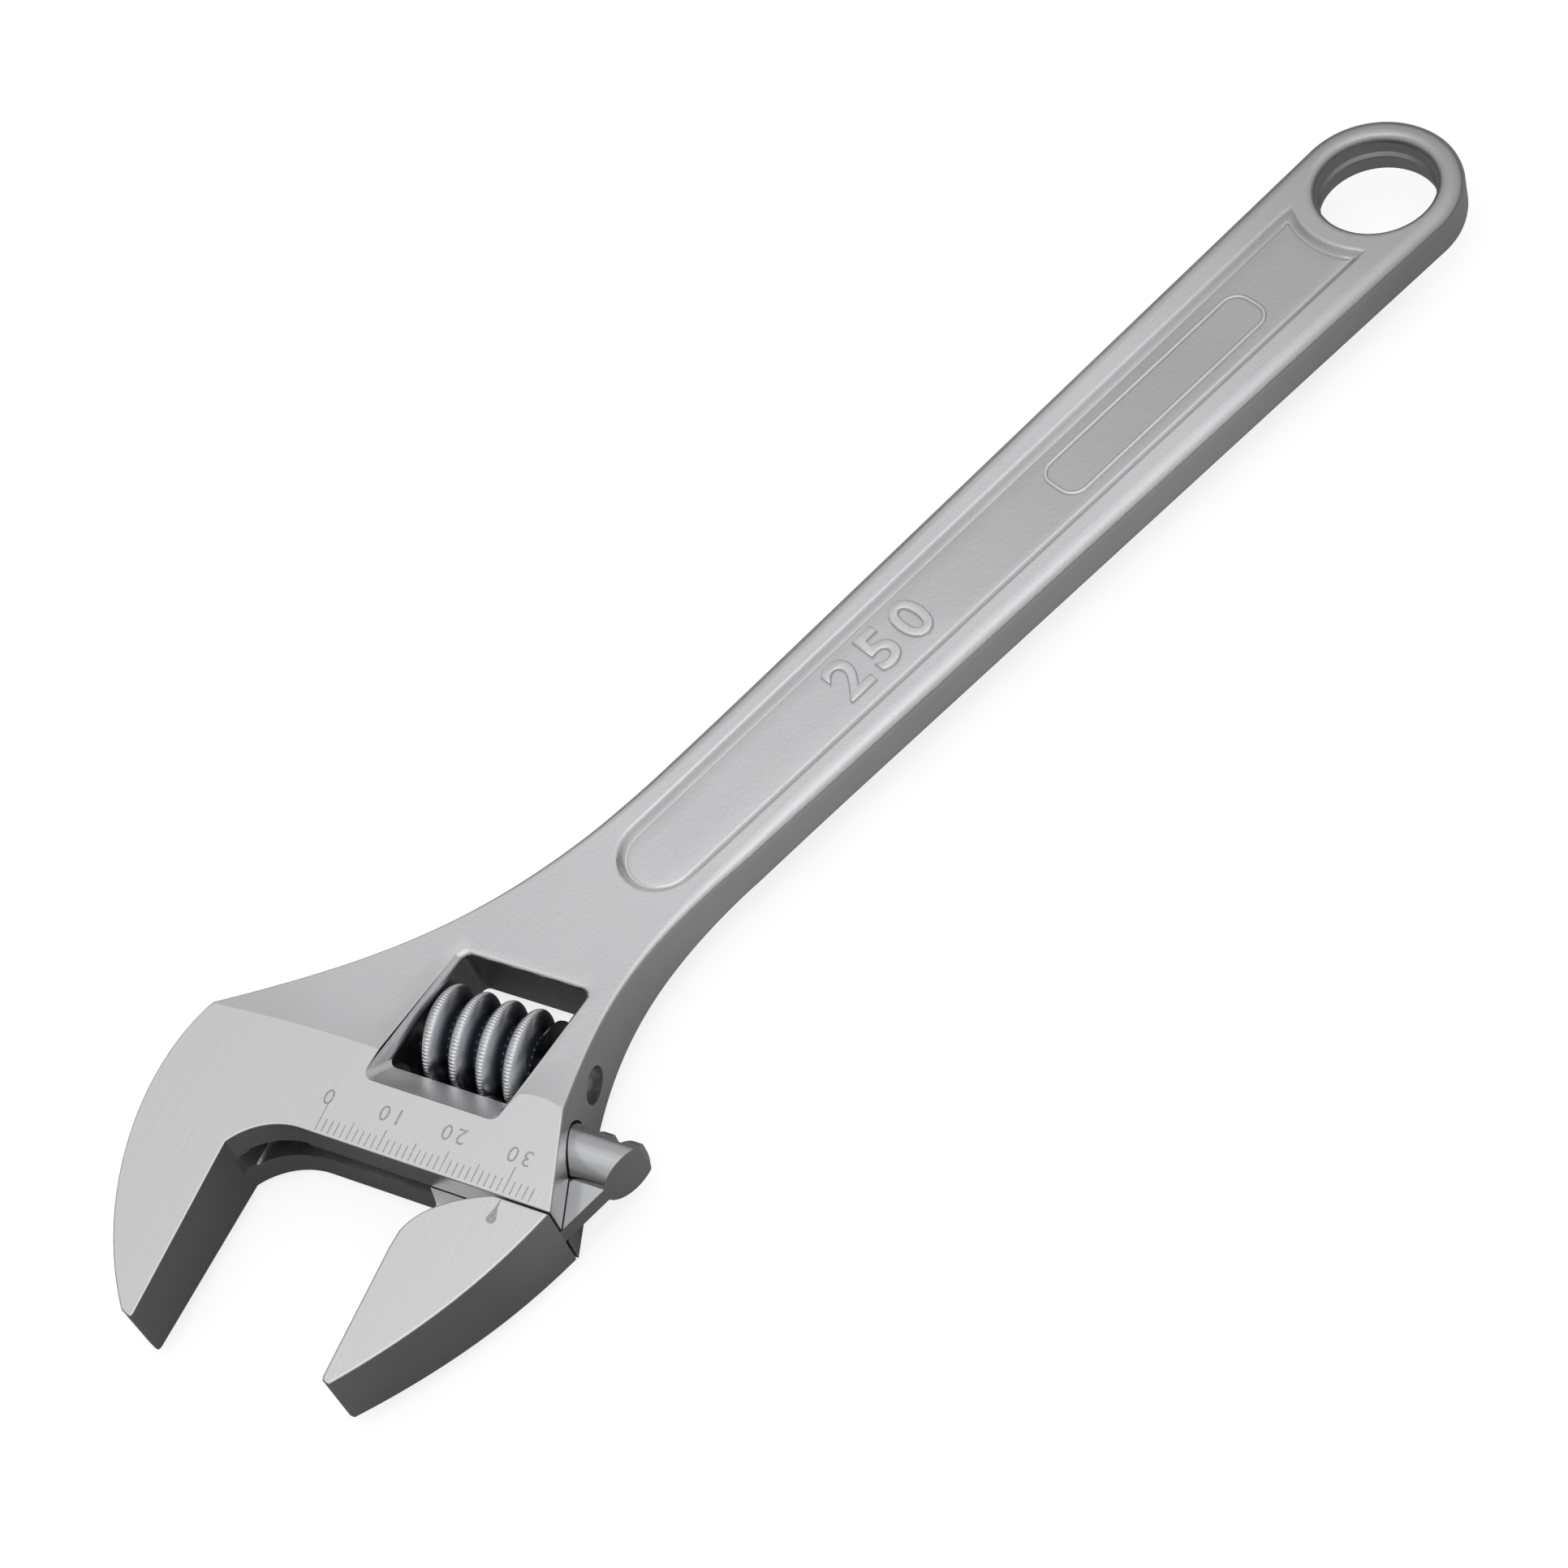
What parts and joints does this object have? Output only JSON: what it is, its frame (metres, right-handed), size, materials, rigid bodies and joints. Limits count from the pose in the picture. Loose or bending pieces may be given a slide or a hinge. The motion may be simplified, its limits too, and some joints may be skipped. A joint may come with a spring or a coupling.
{
  "type": "adjustable wrench",
  "caption": "Satin chrome adjustable wrench, 250 mm size, with a worm-driven movable jaw opened to 30 mm, an etched jaw scale and a hanging hole.",
  "frame": {"origin": "centre of the hanging hole, half way through the handle's thickness", "axes": "+X along the handle from the hanging hole towards the head, +Z square to the flat sides, +Y towards the movable jaw's side"},
  "size_m": [0.2579, 0.0626, 0.0156],
  "materials": {
    "forging": "satin",
    "jaw": "satin",
    "worm": "satin",
    "pin": "satin",
    "spring": "satin"
  },
  "bodies": {
    "body": {"body": "forging", "worm_pin": "pin", "worm_spring": "spring"},
    "jaw": {"movable_jaw": "jaw"},
    "worm": {"worm": "worm"}
  },
  "joints": [
    {"name": "jaw_slide", "type": "slide", "parent": "body", "child": "jaw", "axis": [-0.36, 0.933, 0], "range_m": [-0.0298, 0.003]},
    {"name": "worm_spin", "type": "hinge", "parent": "body", "child": "worm", "pos_m": [0.18458, 0.00296, 0], "axis": [-0.36, 0.933, 0], "range_deg": [-250.3, 2468.2]}
  ],
  "couplings": [
    {"joint": "worm_spin", "follows": "jaw_slide", "rad_per_m": -1444.4}
  ]
}
